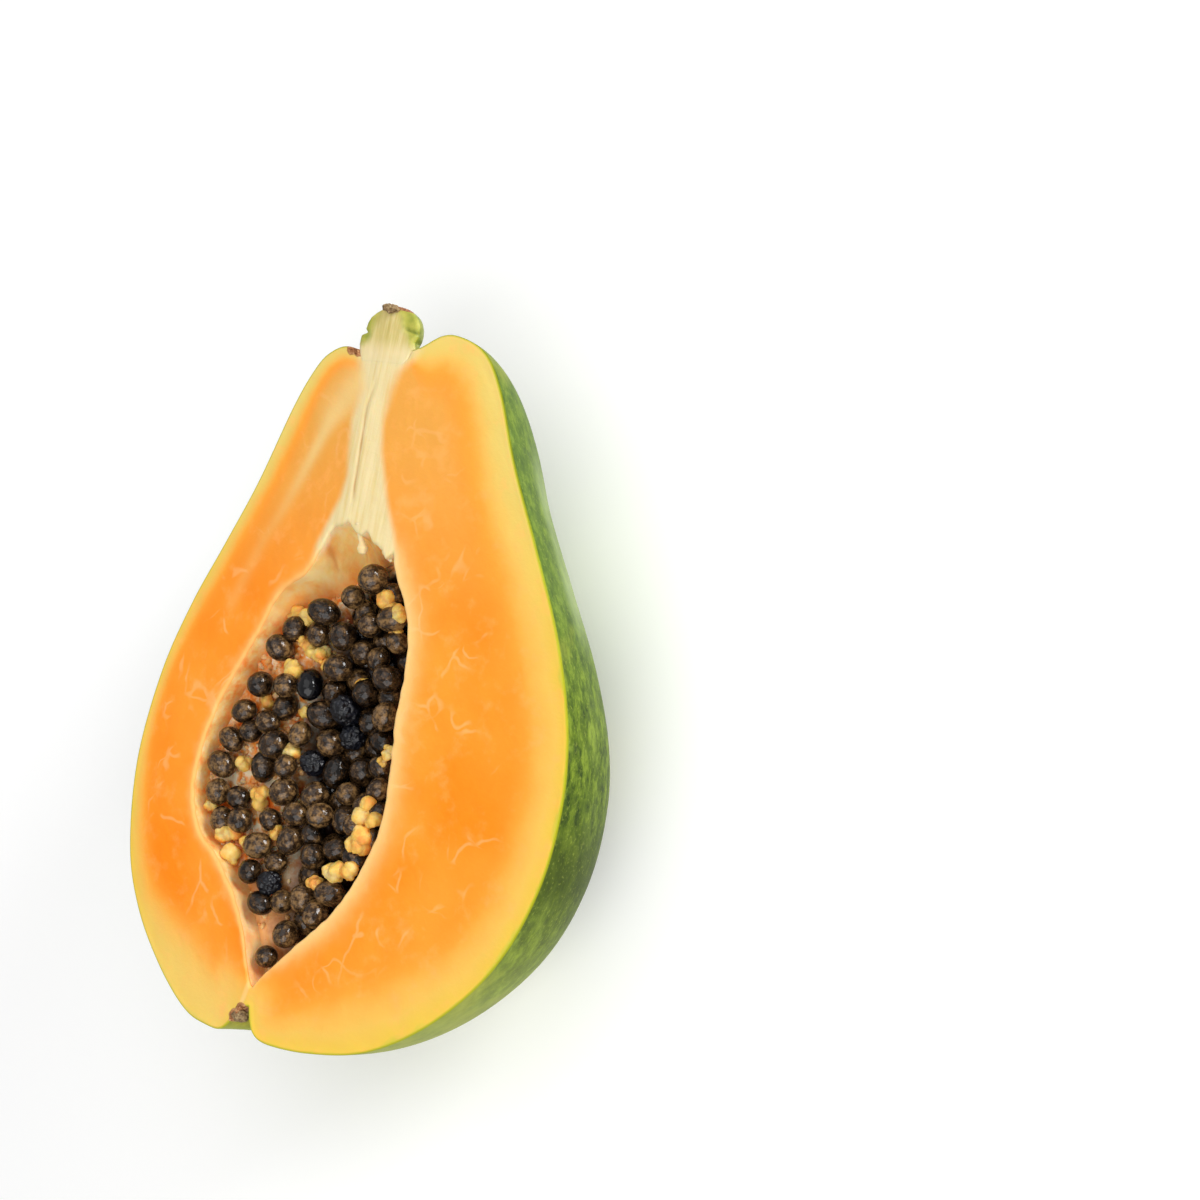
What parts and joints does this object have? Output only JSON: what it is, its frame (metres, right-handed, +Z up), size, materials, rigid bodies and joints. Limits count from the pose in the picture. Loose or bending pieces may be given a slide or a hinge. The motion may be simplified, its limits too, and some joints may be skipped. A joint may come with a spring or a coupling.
{
  "type": "papaya half",
  "caption": "Half of a ripe papaya cut lengthwise, lying on its back with the cut side up: orange flesh, green skin, stem stub and a hollow full of dark seeds.",
  "frame": {"origin": "centre of the bounding box on the surface that the fruit rests on", "axes": "+Z up out of the cut, +Y towards the stem, +X across the cut"},
  "size_m": [0.1114, 0.157, 0.0532],
  "materials": {
    "fruit": "moist orange flesh with a yellow rim and waxy green skin",
    "seeds": "wet dark seeds in clear skins with pale pulp between"
  },
  "bodies": {
    "root": {"papaya_half": "fruit", "seeds": "seeds"}
  },
  "joints": []
}
